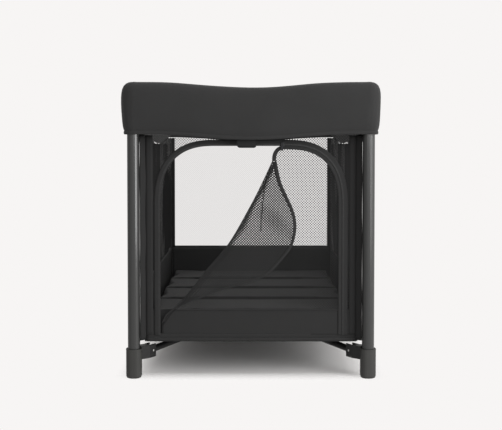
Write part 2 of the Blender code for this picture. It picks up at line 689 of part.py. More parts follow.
# ---------------------------------------------------------------- zip slider
def add_slider(lock_joint):
    """Zip slider where the zip parts, and its pull tab, which swings on the slider."""
    along = FOLD_TOP - FOLD_FOOT
    parting = FOLD_TOP.x + FOLD_TOP_DOWN * along.x / along.y
    at = Vector((parting - SLIDER_ASIDE, -WALL_Y - WALL_CLOTH / 2 - CLOTH_GAP, DOOR_TOP))
    slide = joint_point("joint_zip_slider", at, lock_joint)
    half = SLIDER_SIZE / 2
    bm = block((-half.x, -SLIDER_SIZE.y, -half.z), (half.x, 0, half.z))
    round_edges(bm, lambda a, b: max(a.y, b.y) < -half.y, SLIDER_EASE, 2)
    piece("zip_slider", bm, ZIP_METAL, slide, at)
    hinge = at + Vector((0, -SLIDER_SIZE.y - PULL_GAP - PULL_SIZE.y / 2, 0))
    swing = joint_point("joint_zip_pull", hinge, slide)
    pull_half = PULL_SIZE / 2
    bm = block(
        (-pull_half.x, -pull_half.y, -PULL_SIZE.z + pull_half.y),
        (pull_half.x, pull_half.y, pull_half.y),
    )
    piece("zip_pull", bm, ZIP_METAL, swing, hinge)


# ---------------------------------------------------------------- assembly
for corner in CORNERS:
    add_post(corner)
    add_foot(corner)
    add_arm(corner)
    add_casting(corner)
    add_band_corner(corner)
add_hub()
add_floor()

locks = {}
for side in SIDES:
    for sign, corner in side.halves.items():
        joint_name = f"joint_rail_{side.name}_{corner}"
        turn_point = joint_point(joint_name, side.pivot(sign), posts[corner])
        add_rail(side, sign, turn_point)
        add_band_half(side, sign, turn_point)
        if sign == -1:
            lock_point = joint_point(f"joint_lock_{side.name}", side.lock_pivot(sign), turn_point)
            locks[side.name] = lock_point
            add_lock(side, lock_point)
    press = Vector((side.middle.x, side.middle.y, side.lock_z - BUTTON_DROP))
    add_button(side, joint_point(f"joint_button_{side.name}", press, locks[side.name]))

inner_half = WALL_X - WALL_CLOTH / 2 - CLOTH_GAP
outer_half = WALL_Y + WALL_CLOTH / 2
quarter_turn = math.radians(90)
add_front_wall()
add_wall("wall_rear", inner_half, REACH_X, posts["rear_left"], (0, WALL_Y, 0))
add_wall("wall_left", outer_half, REACH_Y, posts["front_left"], (-WALL_X, 0, 0), quarter_turn)
add_wall("wall_right", outer_half, REACH_Y, posts["front_right"], (WALL_X, 0, 0), quarter_turn)
add_door_leaf()
# the flap turns about a straight line that halves the bow of the fold
fold_along = (FOLD_FOOT - FOLD_TOP).normalized()
half_bow = Vector((-fold_along.y, fold_along.x)) * FOLD_BOW / 2
fold_middle = (FOLD_TOP + FOLD_FOOT) / 2 + half_bow
fold_point = (fold_middle.x, -WALL_Y - FLAP_OUT / 2, fold_middle.y)
add_door_flap(joint_point("joint_door_flap", fold_point))
add_slider(locks["front"])

mattress_end = WALL_Y - WALL_CLOTH / 2 - MATTRESS_EDGE
crease_y = mattress_end / 2
for name, sign in (("front", -1), ("rear", 1)):
    inner = joint_point(f"joint_mattress_{name}_inner", (0, 0, MATTRESS_TOP), hub_joint)
    add_mattress_panel(f"mattress_{name}_inner", inner, 0.0, sign * crease_y)
    outer_place = (0, sign * crease_y, MATTRESS_BOTTOM)
    outer = joint_point(f"joint_mattress_{name}_outer", outer_place, inner)
    add_mattress_panel(f"mattress_{name}_outer", outer, sign * crease_y, sign * mattress_end)
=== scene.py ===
import math

import bmesh
import bpy
from mathutils import Matrix, Vector, noise


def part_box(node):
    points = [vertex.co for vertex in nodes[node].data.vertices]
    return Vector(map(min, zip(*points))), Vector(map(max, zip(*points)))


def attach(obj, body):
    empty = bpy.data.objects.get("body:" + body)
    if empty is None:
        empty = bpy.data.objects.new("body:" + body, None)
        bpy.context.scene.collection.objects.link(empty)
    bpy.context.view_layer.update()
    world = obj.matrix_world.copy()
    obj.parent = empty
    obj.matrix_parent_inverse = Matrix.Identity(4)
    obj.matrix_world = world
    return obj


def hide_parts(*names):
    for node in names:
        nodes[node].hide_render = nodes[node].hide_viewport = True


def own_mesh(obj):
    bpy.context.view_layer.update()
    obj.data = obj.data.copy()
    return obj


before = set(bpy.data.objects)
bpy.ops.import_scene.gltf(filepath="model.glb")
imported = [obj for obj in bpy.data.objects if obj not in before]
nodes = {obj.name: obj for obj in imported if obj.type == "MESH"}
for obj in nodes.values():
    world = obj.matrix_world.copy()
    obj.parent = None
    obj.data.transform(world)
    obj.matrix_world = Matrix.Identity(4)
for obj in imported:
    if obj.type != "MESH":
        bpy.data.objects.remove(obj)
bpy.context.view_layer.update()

scene = bpy.context.scene


# ------------------------------------------------------------------ the view
# A long lens at standing child's height, square to the front wall and dipped a little.
camera = bpy.data.objects.new("camera", bpy.data.cameras.new("camera"))
scene.collection.objects.link(camera)
scene.camera = camera
camera.location = (0.0, -3.16, 0.635)
camera.rotation_euler = (math.radians(90 - 2.05), 0, 0)
camera.data.lens = 70.7
camera.data.sensor_width = 36
camera.data.shift_y = -0.068
scene.view_settings.view_transform = "Standard"


def linear(code):
    """An sRGB hex colour as linear RGBA."""
    parts = [int(code[i:i + 2], 16) / 255 for i in (1, 3, 5)]
    return (*[p / 12.92 if p <= 0.04045 else ((p + 0.055) / 1.055) ** 2.4 for p in parts], 1.0)


def add_node(tree, kind, feeds=None, **settings):
    """Adds a node with its settings; each feed is a value or the output that feeds it."""
    made = tree.nodes.new(kind)
    for name, value in settings.items():
        setattr(made, name, value)
    for name, value in (feeds or {}).items():
        if isinstance(value, bpy.types.NodeSocket):
            tree.links.new(value, made.inputs[name])
        else:
            made.inputs[name].default_value = value
    return made


def new_material(name, **sockets):
    """A Principled material, with values set on the shader's own sockets."""
    made = bpy.data.materials.new(name)
    made.use_nodes = True
    shader = made.node_tree.nodes["Principled BSDF"]
    for socket, value in sockets.items():
        shader.inputs[socket.replace("_", " ")].default_value = value
    return made, made.node_tree, shader


# ------------------------------------------------------------------ the studio
# A pale surround, brighter on the right. The floor is a painted board under the pen that
# fades out round its edge, so the surround runs on below without a horizon.
STUDIO_WHITE = "#f7f5f4"
world = bpy.data.worlds.new("studio surround")
scene.world = world
world.use_nodes = True
sky = world.node_tree
seen = add_node(sky, "ShaderNodeBackground", {"Color": linear(STUDIO_WHITE), "Strength": 1.0})
direction = add_node(sky, "ShaderNodeTexCoord")
sideways = add_node(sky, "ShaderNodeSeparateXYZ", {0: direction.outputs["Generated"]})
level = add_node(
    sky, "ShaderNodeMapRange",
    {"Value": sideways.outputs["X"], "From Min": -1.0, "From Max": 1.0,
     "To Min": 0.36, "To Max": 0.80},
)
lit = add_node(
    sky, "ShaderNodeBackground",
    {"Color": linear(STUDIO_WHITE), "Strength": level.outputs["Result"]},
)
ray = add_node(sky, "ShaderNodeLightPath")
either = add_node(
    sky, "ShaderNodeMixShader",
    {0: ray.outputs["Is Camera Ray"], 1: lit.outputs[0], 2: seen.outputs[0]},
)
sky.links.new(either.outputs[0], sky.nodes["World Output"].inputs["Surface"])

paint, tree, shader = new_material("floor, matt studio paint", Roughness=0.9)
shader.inputs["Base Color"].default_value = linear("#fbfaf9")
place = add_node(tree, "ShaderNodeTexCoord")
axes = add_node(tree, "ShaderNodeSeparateXYZ", {0: place.outputs["Object"]})
SOLID_X, SOLID_Y, FADE = 0.27, 0.41, 0.11
solid = []
for axis, edge in (("X", SOLID_X), ("Y", SOLID_Y)):
    out = add_node(tree, "ShaderNodeMath", {0: axes.outputs[axis]}, operation="ABSOLUTE")
    solid.append(add_node(
        tree, "ShaderNodeMapRange",
        {"Value": out.outputs[0], "From Min": edge, "From Max": edge + FADE,
         "To Min": 1.0, "To Max": 0.0},
        interpolation_type="SMOOTHSTEP",
    ))
shown = add_node(
    tree, "ShaderNodeMath", {0: solid[0].outputs["Result"], 1: solid[1].outputs["Result"]},
    operation="MULTIPLY",
)
tree.links.new(shown.outputs[0], shader.inputs["Alpha"])
bm = bmesh.new()
bmesh.ops.create_grid(bm, x_segments=1, y_segments=1, size=0.8)
mesh = bpy.data.meshes.new("studio_floor")
bm.to_mesh(mesh)
bm.free()
floor = bpy.data.objects.new("studio_floor", mesh)
scene.collection.objects.link(floor)
floor.data.materials.append(paint)

# soft boxes: where each stands, how wide and tall it is in metres, and its watts
for name, spot, wide, tall, watts in (
    ("soft_box_right", (1.60, -1.9, 0.95), 1.15, 1.7, 26),
    ("soft_box_front", (0.4, -4.2, 1.6), 1.8, 1.8, 22),
    ("soft_box_top", (0.3, -0.6, 4.6), 3.6, 3.6, 34),
):
    lamp = bpy.data.objects.new(name, bpy.data.lights.new(name, "AREA"))
    scene.collection.objects.link(lamp)
    lamp.location = spot
    lamp.rotation_euler = (Vector((0, 0, 0.4)) - lamp.location).to_track_quat("-Z", "Y").to_euler()
    lamp.data.shape = "RECTANGLE"
    lamp.data.size, lamp.data.size_y = wide, tall
    lamp.data.energy = watts


# ------------------------------------------------------------------ posts, feet and base
# The posts are graphite powder-coated aluminium, the arms black enamelled steel, and the
# boots and the hub are moulded plastic. They are the frame's own shapes.
def new_piece(name, bm, look, body, smooth=35.0):
    """Makes an object of a finished mesh, riding on a body."""
    mesh = bpy.data.meshes.new(name)
    bm.to_mesh(mesh)
    bm.free()
    mesh.shade_smooth()
    mesh.set_sharp_from_angle(angle=math.radians(smooth))
    mesh.materials.append(look)
    piece = bpy.data.objects.new(name, mesh)
    scene.collection.objects.link(piece)
    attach(piece, body)
    return piece


def repaint(look, *prefixes):
    """Gives a finish to every frame piece whose name starts with one of these."""
    for name, piece in nodes.items():
        if name.startswith(prefixes):
            piece.data.materials.clear()
            piece.data.materials.append(look)


def hard_finish(name, colour, grain_mm, bump, spread, **sockets):
    """A paint or plastic: its colour drifts a little and its skin has a fine grain."""
    made, tree, shader = new_material(name, **sockets)
    place = add_node(tree, "ShaderNodeTexCoord")
    drift = add_node(
        tree, "ShaderNodeTexNoise",
        {"Vector": place.outputs["Object"], "Scale": 18.0, "Detail": 3.0},
    )
    shade = add_node(
        tree, "ShaderNodeMapRange",
        {"Value": drift.outputs[0], "From Min": 0.3, "From Max": 0.7,
         "To Min": 1.0 - spread, "To Max": 1.0 + spread},
    )
    tint = add_node(
        tree, "ShaderNodeVectorMath",
        {0: linear(colour)[:3], "Scale": shade.outputs["Result"]}, operation="SCALE",
    )
    tree.links.new(tint.outputs["Vector"], shader.inputs["Base Color"])
    grain = add_node(
        tree, "ShaderNodeTexNoise",
        {"Vector": place.outputs["Object"], "Scale": 1000.0 / grain_mm, "Detail": 2.0},
    )
    skin = add_node(
        tree, "ShaderNodeBump",
        {"Height": grain.outputs[0], "Strength": bump, "Distance": grain_mm * 0.0002},
    )
    tree.links.new(skin.outputs["Normal"], shader.inputs["Normal"])
    return made


# powder coat on extruded aluminium: satin, with a faint orange-peel every 2 mm
POWDER_COAT = hard_finish(
    "powder-coated aluminium, graphite", "#242524", 2.0, 0.12, 0.06,
    Roughness=0.42, Metallic=0.2, IOR=1.5, Coat_Weight=1.0, Coat_IOR=1.65, Coat_Roughness=0.15,
)
# stove enamel on steel tube
ENAMEL = hard_finish(
    "stove enamel on steel, black", "#1b1b1b", 2.5, 0.2, 0.05, Roughness=0.4, Metallic=0.2,
)
# injection-moulded polypropylene with a spark-eroded texture, a little lighter than the tube
BOOT_PLASTIC = hard_finish(
    "polypropylene, moulded, slate grey", "#3a3a38", 1.2, 0.35, 0.05, Roughness=0.5, IOR=1.49,
)
# glass-filled nylon, black, satin
NYLON = hard_finish(
    "glass-filled nylon, black", "#171718", 1.0, 0.3, 0.06, Roughness=0.45, IOR=1.53,
)
repaint(POWDER_COAT, "post_")
repaint(ENAMEL, "arm_", "rail_")
repaint(BOOT_PLASTIC, "foot_")
repaint(NYLON, "hub", "corner_", "lock_")
# the same nylon with a coarse spark-eroded grip, so it hardly shines
GRIP_NYLON = hard_finish("glass-filled nylon, matt grip", "#0f0f10", 1.2, 0.4, 0.06, Roughness=0.75)
repaint(GRIP_NYLON, "button_")

# Zinc-plated rivets pin each arm in its lug and each rail in its fork. A rivet shows as a
# low dome on each side.
RIVET_STEEL = hard_finish(
    "zinc-plated steel", "#c9c9c6", 0.8, 0.1, 0.08, Roughness=0.28, Metallic=1.0,
)
RIVET_SIZE = 0.0034
RIVET_HIGH = 0.0014
CORNERS = {
    "front_left": (-1, -1), "front_right": (1, -1), "rear_left": (-1, 1), "rear_right": (1, 1),
}
POST_X, POST_Y = 0.320, 0.480
PIVOT_IN = 0.040
CENTRE_OUT = 0.045
REACH_X = POST_X - PIVOT_IN - CENTRE_OUT
REACH_Y = POST_Y - PIVOT_IN - CENTRE_OUT
SLOPE = math.tan(math.radians(3.0))
ARM_PIVOT_Z = 0.068


def dome(bm, centre, outward, size=RIVET_SIZE, high=RIVET_HIGH):
    """Adds half a flattened ball to a mesh, standing on a face."""
    made = bmesh.ops.create_uvsphere(bm, u_segments=16, v_segments=8, radius=size)["verts"]
    bmesh.ops.scale(bm, vec=(1, 1, high / size), verts=made)
    turn = Vector((0, 0, 1)).rotation_difference(Vector(outward)).to_matrix()
    bmesh.ops.rotate(bm, matrix=turn, verts=made)
    bmesh.ops.translate(bm, vec=centre, verts=made)


# Each boot's lug is coloured in the black nylon of the hub, darker than the boot, as painted shade
# for where it sits in under the pen; its collar has a rolled rim.
BOOT_HALF, BOOT_ROUND, BOOT_HIGH, RIM = 0.02125, 0.017, 0.0796, 0.0011
PAST_BOOT = 0.0008
for corner, (sx, sy) in CORNERS.items():
    boot = nodes[f"foot_{corner}"]
    boot.data.materials.append(NYLON)
    # the lug's faces, past the boot's own sides, take the black nylon as painted shade
    for face in boot.data.polygons:
        at = boot.matrix_world @ face.center
        if max(abs(at.x - sx * POST_X), abs(at.y - sy * POST_Y)) > BOOT_HALF + PAST_BOOT:
            face.material_index = 1
    bm = bmesh.new()
    bmesh.ops.create_grid(bm, x_segments=64, y_segments=10, size=0.5)
    flat = BOOT_HALF - BOOT_ROUND
    for v in bm.verts:
        angle, tilt = 2 * math.pi * (v.co.x + 0.5), 2 * math.pi * (v.co.y + 0.5)
        out = Vector((math.cos(angle), math.sin(angle), 0))
        base = Vector((math.copysign(flat, out.x), math.copysign(flat, out.y), 0))
        ring = base + out * (BOOT_ROUND - RIM * 0.6 + RIM * math.cos(tilt))
        v.co = ring + Vector((sx * POST_X, sy * POST_Y, BOOT_HIGH + RIM * math.sin(tilt)))
    bmesh.ops.remove_doubles(bm, verts=bm.verts, dist=0.00002)
    bmesh.ops.recalc_face_normals(bm, faces=bm.faces)
    new_piece(f"boot_rim_{corner}", bm, BOOT_PLASTIC, corner, smooth=80)

LUG_HALF_WIDE, HUB_LUG_UP, HUB_LUG_IN = 0.0123, 0.0139, 0.016
for corner, (sx, sy) in CORNERS.items():
    reach = math.hypot(REACH_X, REACH_Y)
    across = Vector((sy * REACH_Y, -sx * REACH_X, 0)) / reach
    pivot = Vector((sx * (POST_X - PIVOT_IN), sy * (POST_Y - PIVOT_IN), ARM_PIVOT_Z))
    bm = bmesh.new()
    for sign in (-1, 1):
        dome(bm, pivot + across * sign * LUG_HALF_WIDE, across * sign)
    new_piece(f"rivets_foot_{corner}", bm, RIVET_STEEL, corner)
    lug_top = ARM_PIVOT_Z + reach * SLOPE + HUB_LUG_UP
    pin = Vector((sx * CENTRE_OUT, sy * CENTRE_OUT, lug_top))
    bm = bmesh.new()
    dome(bm, pin - Vector((sx, sy, 0)).normalized() * HUB_LUG_IN, (0, 0, 1))
    new_piece(f"rivets_hub_{corner}", bm, RIVET_STEEL, "hub")


# ------------------------------------------------------------------ padded band
# A quilted sleeve of charcoal polyester over foam runs round the top rails. It is puffed on
# both faces, pulled in at a stitched hem, and dips towards the middle of each side.
def woven(name, colour, thread_mm, bump, streak, **sockets):
    """Woven cloth: threads both ways, slub streaks and a slow drift of shade."""
    made, tree, shader = new_material(name, **sockets)
    place = add_node(tree, "ShaderNodeTexCoord")
    axes = add_node(tree, "ShaderNodeSeparateXYZ", {0: place.outputs["Object"]})
    along = add_node(
        tree, "ShaderNodeMath", {0: axes.outputs["X"], 1: axes.outputs["Y"]}, operation="ADD"
    )
    turns = 2 * math.pi * 1000.0 / thread_mm
    threads = []
    for source in (along.outputs[0], axes.outputs["Z"]):
        angle = add_node(tree, "ShaderNodeMath", {0: source, 1: turns}, operation="MULTIPLY")
        wave = add_node(tree, "ShaderNodeMath", {0: angle.outputs[0]}, operation="SINE")
        threads.append(wave.outputs[0])
    weave = add_node(tree, "ShaderNodeMath", {0: threads[0], 1: threads[1]}, operation="MULTIPLY")
    slub_place = add_node(
        tree, "ShaderNodeMapping", {"Vector": place.outputs["Object"], "Scale": (260, 260, 1400)}
    )
    slub = add_node(
        tree, "ShaderNodeTexNoise", {"Vector": slub_place.outputs[0], "Scale": 1.0, "Detail": 2.0}
    )
    cloudy = add_node(
        tree, "ShaderNodeTexNoise",
        {"Vector": place.outputs["Object"], "Scale": 9.0, "Detail": 4.0},
    )
    both = add_node(
        tree, "ShaderNodeMath", {0: slub.outputs[0], 1: cloudy.outputs[0]}, operation="ADD"
    )
    shade = add_node(
        tree, "ShaderNodeMapRange",
        {"Value": both.outputs[0], "From Min": 0.7, "From Max": 1.3,
         "To Min": 1.0 - streak, "To Max": 1.0 + streak},
    )
    tint = add_node(
        tree, "ShaderNodeVectorMath",
        {0: linear(colour)[:3], "Scale": shade.outputs["Result"]}, operation="SCALE",
    )
    tree.links.new(tint.outputs["Vector"], shader.inputs["Base Color"])
    raised = add_node(
        tree, "ShaderNodeBump",
        {"Height": weave.outputs[0], "Strength": bump, "Distance": thread_mm * 0.0002},
    )
    tree.links.new(raised.outputs["Normal"], shader.inputs["Normal"])
    return made


# polyester oxford: its real threads are 0.5 mm apart, drawn every 1.6 mm so that they show
BAND_CLOTH = woven(
    "polyester oxford over foam, charcoal", "#2b2b2b", 1.6, 0.35, 0.10,
    Roughness=0.82, Sheen_Weight=0.10, Sheen_Roughness=0.5, IOR=1.45,
)
BAND_TOP = 0.8075
BAND_DEPTH = 0.1425
BAND_END = 0.050
BAND_PLAN_CORNER = 0.035
BAND_PADDING = 0.0035
BAND_FACE = 0.0315
HEM_ROWS = 9
# distance out from the post axes and height from the top, from the outer hem round to the inner
BAND_PROFILE = (
    (0.0222, -0.1410), (0.0238, -0.1421), (0.0254, -0.1415), (0.0261, -0.1393),
    (0.0262, -0.1360), (0.0257, -0.1337), (0.0246, -0.1325), (0.0250, -0.1311),
    (0.0266, -0.1280), (0.0284, -0.1188), (0.0299, -0.1058), (0.0310, -0.0907),
    (0.0318, -0.0744), (0.0322, -0.0582), (0.0322, -0.0430), (0.0315, -0.0300),
    (0.0295, -0.0195), (0.0258, -0.0112), (0.0203, -0.0052), (0.0136, -0.0018),
    (0.0060, -0.0003), (-0.0020, 0.0000), (-0.0095, -0.0010), (-0.0160, -0.0038),
    (-0.0212, -0.0085), (-0.0250, -0.0150), (-0.0274, -0.0240), (-0.0286, -0.0354),
    (-0.0290, -0.0538), (-0.0288, -0.0755), (-0.0282, -0.0972), (-0.0272, -0.1145),
    (-0.0260, -0.1264), (-0.0250, -0.1311), (-0.0248, -0.1327), (-0.0257, -0.1340),
    (-0.0262, -0.1365), (-0.0261, -0.1397), (-0.0253, -0.1417), (-0.0236, -0.1419),
    (-0.0224, -0.1407),
)


def fall(run, length):
    """How far a rail's cloth has dropped at a distance from its corner pivot."""
    share = min(max(run / length, 0.0), 1.0)
    return SLOPE * length * (1 - math.cos(math.pi * share)) / 2


def puckers(at, outward, low):
    """Small folds in the padded cloth: long ones everywhere, tight ones near the hem."""
    run = at.x * outward.y - at.y * outward.x
    wide = noise.noise(Vector((run * 9.0, at.z * 16.0, outward.x * 7.0 + outward.y * 3.0)))
    fine = noise.noise(Vector((run * 34.0, at.z * 10.0, 5.0 + outward.x * 7.0 + outward.y * 3.0)))
    return 0.0011 * wide + 0.0008 * fine * low


def band_normal(k):
    """Which way the padded face looks at one point of the profile."""
    a = Vector(BAND_PROFILE[max(k - 1, 0)])
    b = Vector(BAND_PROFILE[min(k + 1, len(BAND_PROFILE) - 1)])
    step = (b - a).normalized()
    return Vector((step.y, -step.x))


def sleeve(name, body, columns, place):
    """A length of the band: a sheet laid out by the profile, then padded inwards."""
    rows = len(BAND_PROFILE) - 1
    bm = bmesh.new()
    bmesh.ops.create_grid(bm, x_segments=columns, y_segments=rows, size=0.5)
    for v in bm.verts:
        k = round((v.co.y + 0.5) * rows)
        t = v.co.x + 0.5
        out, up = BAND_PROFILE[k]
        spot, outward, drop = place(t, out)
        face = band_normal(k)
        at = Vector((spot.x, spot.y, BAND_TOP + up - drop))
        low = max(0.0, -up / BAND_DEPTH) ** 2
        in_hem = k < HEM_ROWS or k > rows - HEM_ROWS
        push = puckers(at, outward, low) * (0.3 if in_hem else 1.0)
        v.co = at + outward * face.x * push + Vector((0, 0, face.y * push))
    bmesh.ops.recalc_face_normals(bm, faces=bm.faces)
    top = max(bm.faces, key=lambda f: f.calc_center_median().z)
    if top.normal.z < 0:
        bmesh.ops.reverse_faces(bm, faces=bm.faces)
    bmesh.ops.solidify(bm, geom=bm.faces[:], thickness=BAND_PADDING)
    piece = new_piece(name, bm, BAND_CLOTH, body, smooth=80)
    return piece


RIGHT, BACK = Vector((1, 0, 0)), Vector((0, 1, 0))
SIDES = {
    # side: its middle, the direction along it, its rails' reach, and the corner at each end
    "front": (BACK * -POST_Y, RIGHT, REACH_X, {-1: "front_left", 1: "front_right"}),
    "rear": (BACK * POST_Y, RIGHT, REACH_X, {-1: "rear_left", 1: "rear_right"}),
    "left": (RIGHT * -POST_X, BACK, REACH_Y, {-1: "front_left", 1: "rear_left"}),
    "right": (RIGHT * POST_X, BACK, REACH_Y, {-1: "front_right", 1: "rear_right"}),
}
for side, (middle, along, reach, halves) in SIDES.items():
    outward = middle.normalized()
    length = reach + CENTRE_OUT
    start = BAND_END - PIVOT_IN
    for sign, corner in halves.items():

        def place(t, out):
            run = start + (length - start) * t
            at = middle + along * sign * (length - run) + outward * out
            return at, outward, fall(run, length)

        columns = round((length - start) / 0.005)
        half = sleeve(f"band_cloth_{side}_of_{corner}", f"rail_{side}_of_{corner}", columns, place)
        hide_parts(f"band_{side}_of_{corner}")
        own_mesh(half)

for corner, (sx, sy) in CORNERS.items():

    def place(t, out):
        radius = max(out + BAND_PLAN_CORNER - BAND_FACE, 0.007)
        flat = BAND_END - (radius - out)
        curve = radius * math.pi / 2
        total = 2 * flat + curve
        run = t * total
        if run < flat:
            spot, face = Vector((BAND_END - run, -out)), Vector((0, -1))
        elif run > flat + curve:
            spot, face = Vector((-out, BAND_END - (total - run))), Vector((-1, 0))
        else:
            angle = (run - flat) / radius
            face = Vector((-math.sin(angle), -math.cos(angle)))
            spot = Vector((radius - out, radius - out)) + face * radius
        at = Vector((sx * (POST_X - spot.x), sy * (POST_Y - spot.y), 0))
        outward = Vector((-sx * face.x, -sy * face.y, 0))
        inward = max(spot.x, spot.y) - PIVOT_IN
        length = (REACH_X if spot.x > spot.y else REACH_Y) + CENTRE_OUT
        return at, outward, fall(inward, length)

    cap = sleeve(f"band_cloth_corner_{corner}", corner, 40, place)
    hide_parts(f"band_corner_{corner}")


# ------------------------------------------------------------------ net and cloth of the walls
# Each wall is black warp-knit net framed in plain polyester: strips up the sides, a deep
# band at the foot that hides the mattress, and a hem at the top inside the padded band.
# the holes of the real net are 3 mm apart; these are 5 mm apart on the slant, so that they show
NET_PITCH = 0.0072


def net(name, colour, open_share, hole=0.0, yarn_cover=1.0, **sockets):
    """Knitted net: round holes on a diagonal grid with yarn between them."""
    made, tree, shader = new_material(name, **sockets)
    place = add_node(tree, "ShaderNodeTexCoord")
    axes = add_node(tree, "ShaderNodeSeparateXYZ", {0: place.outputs["Object"]})
    along = add_node(
        tree, "ShaderNodeMath", {0: axes.outputs["X"], 1: axes.outputs["Y"]}, operation="ADD"
    )
    turns = 2 * math.pi / NET_PITCH
    waves = []
    for source in (along.outputs[0], axes.outputs["Z"]):
        angle = add_node(tree, "ShaderNodeMath", {0: source, 1: turns}, operation="MULTIPLY")
        waves.append(add_node(tree, "ShaderNodeMath", {0: angle.outputs[0]}, operation="COSINE"))
    holes = add_node(
        tree, "ShaderNodeMath", {0: waves[0].outputs[0], 1: waves[1].outputs[0]},
        operation="MULTIPLY",
    )
    # the product of two cosines is above this level over that share of the cloth
    limit = math.sin((0.5 - open_share) * math.pi * 0.72)
    yarn = add_node(
        tree, "ShaderNodeMapRange",
        {"Value": holes.outputs[0], "From Min": limit - 0.08, "From Max": limit + 0.08,
         "To Min": yarn_cover, "To Max": hole},
    )
    tree.links.new(yarn.outputs["Result"], shader.inputs["Alpha"])
    drift = add_node(
        tree, "ShaderNodeTexNoise",
        {"Vector": place.outputs["Object"], "Scale": 12.0, "Detail": 2.0},
    )
    shade = add_node(
        tree, "ShaderNodeMapRange",
        {"Value": drift.outputs[0], "From Min": 0.3, "From Max": 0.7,
         "To Min": 0.85, "To Max": 1.15},
    )
    tint = add_node(
        tree, "ShaderNodeVectorMath",
        {0: linear(colour)[:3], "Scale": shade.outputs["Result"]}, operation="SCALE",
    )
    tree.links.new(tint.outputs["Vector"], shader.inputs["Base Color"])
    raised = add_node(
        tree, "ShaderNodeBump",
        {"Height": yarn.outputs["Result"], "Strength": 0.4, "Distance": 0.0004},
    )
    tree.links.new(raised.outputs["Normal"], shader.inputs["Normal"])
    return made


# polyester warp-knit net, black; the rear one is finer, so its holes don't show against the
# light and it only veils it
NET = net("polyester net, knitted, black", "#1d1d1d", 0.60, Roughness=0.75, Sheen_Weight=0.2)
CLEAR_NET = net(
    "polyester net, knitted, open", "#202020", 0.6, hole=0.14, yarn_cover=0.22, Roughness=0.75,
)
# the same net where it hangs slack and doubled, so that less light comes through; its yarn colour
# is also painted darker than the net's own, as painted shade
SHADED_SLACK_NET = net("polyester net, knitted, slack, painted shade", "#161616", 0.33, Roughness=0.75, Sheen_Weight=0.1)
# plain-woven polyester, 1.4 mm threads drawn where the real ones are 0.4 mm
WALL_CLOTH = woven(
    "polyester plain weave, black", "#202020", 1.4, 0.3, 0.08, Roughness=0.8, Sheen_Weight=0.08,
)
# the same cloth, coated on its inner face, where it lines the sides
LINING = woven("polyester plain weave, coated", "#151515", 1.4, 0.3, 0.08, Roughness=0.7)
# nylon webbing tape folded over the cloth's edges, ribbed every 1.2 mm
TAPE = woven(
    "nylon binding tape, black", "#1d1d1d", 1.2, 0.5, 0.10, Roughness=0.7, Sheen_Weight=0.08,
)
# the same yarn where it stands up from the net
YARN = hard_finish("polyester yarn, black", "#161616", 1.5, 0.3, 0.1, Roughness=0.85)

WALL_X, WALL_Y = 0.292, 0.452
WALL_BOTTOM, WALL_TOP = 0.0945, 0.664
EDGE_IN = 0.002
CLOTH_THICK, TAPE_THICK = 0.0009, 0.0012


def even(points, count):
    """Points spaced evenly along a line."""
    points = [Vector(p) for p in points]
    steps = [(b - a).length for a, b in zip(points, points[1:])]
    total = sum(steps)
    result = []
    for i in range(count + 1):
        want = total * i / count
        for a, b, step in zip(points, points[1:], steps):
            if want <= step + 1e-9 or b is points[-1]:
                result.append(a.lerp(b, min(want / step, 1.0) if step else 0.0))
                break
            want -= step
    return result


def curve_through(points, count=80):
    """A smooth line through its points, by Catmull-Rom."""
    points = [Vector(p) for p in points]
    ends = [2 * points[0] - points[1], *points, 2 * points[-1] - points[-2]]
    smooth = []
    for a, b, c, d in zip(ends, ends[1:], ends[2:], ends[3:]):
        for k in range(8):
            t = k / 8
            smooth.append(
                0.5 * (2 * b + (c - a) * t + (2 * a - 5 * b + 4 * c - d) * t * t
                       + (3 * b - a - 3 * c + d) * t ** 3)
            )
    return even([*smooth, points[-1]], count)


def beside(line, distance):
    """A line at a distance to the left of another, in the wall's plane."""
    moved = []
    for i, p in enumerate(line):
        step = line[min(i + 1, len(line) - 1)] - line[max(i - 1, 0)]
        step.normalize()
        moved.append(p + Vector((-step.y, step.x)) * distance)
    return moved


def between(first, second, along, across):
    """A grid of quads that fills the space between two lines, as (x, z) in its vertices."""
    bm = bmesh.new()
    bmesh.ops.create_grid(bm, x_segments=along, y_segments=across, size=0.5)
    a, b = even(first, along), even(second, along)
    for v in bm.verts:
        i = round((v.co.x + 0.5) * along)
        spot = a[i].lerp(b[i], v.co.y + 0.5)
        v.co = (spot.x, 0, spot.y)
    return bm


WALLS = {
    # name: body, distance out of the middle, level direction along it, which way is out
    "front": ("front_left", BACK * -WALL_Y, RIGHT, -BACK),
    "rear": ("rear_left", BACK * WALL_Y, RIGHT, BACK),
    "left": ("front_left", RIGHT * -WALL_X, BACK, -RIGHT),
    "right": ("front_right", RIGHT * WALL_X, BACK, RIGHT),
}


def hang(name, wall, bm, look, bulge, lift=0.0, thick=0.0):
    """Hangs a flat pattern on a wall: waves in the cloth and its thickness."""
    body, middle, along, outward = WALLS[wall]
    for v in bm.verts:
        x, z = v.co.x, v.co.z
        wave = noise.noise(Vector((x * 7.0, z * 4.0, 3.0 * lift * 1000 + len(name))))
        wave += 0.4 * noise.noise(Vector((x * 24.0, z * 9.0, 9.0 + len(name))))
        v.co = middle + along * x + outward * (lift + v.co.y + bulge * wave) + Vector((0, 0, z))
    bmesh.ops.recalc_face_normals(bm, faces=bm.faces)
    face = next(iter(bm.faces))
    if face.normal.dot(outward) < 0:
        bmesh.ops.reverse_faces(bm, faces=bm.faces)
    piece = new_piece(name, bm, look, body, smooth=60)
    if thick:
        wall_skin = piece.modifiers.new("cloth", "SOLIDIFY")
        wall_skin.thickness = thick
        wall_skin.offset = 0
    if along.x:
        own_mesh(piece)
    else:
        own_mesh(piece)
    return piece


def top_line(half, length, down=0.0, count=24):
    """The top edge of a wall, which follows the hem of the band."""
    return [
        Vector((half * (2 * i / count - 1),
                WALL_TOP - down - fall(length - abs(half * (2 * i / count - 1)), length)))
        for i in range(count + 1)
    ]


WALE_PITCH, WALE_DEEP = 0.0048, 0.0012


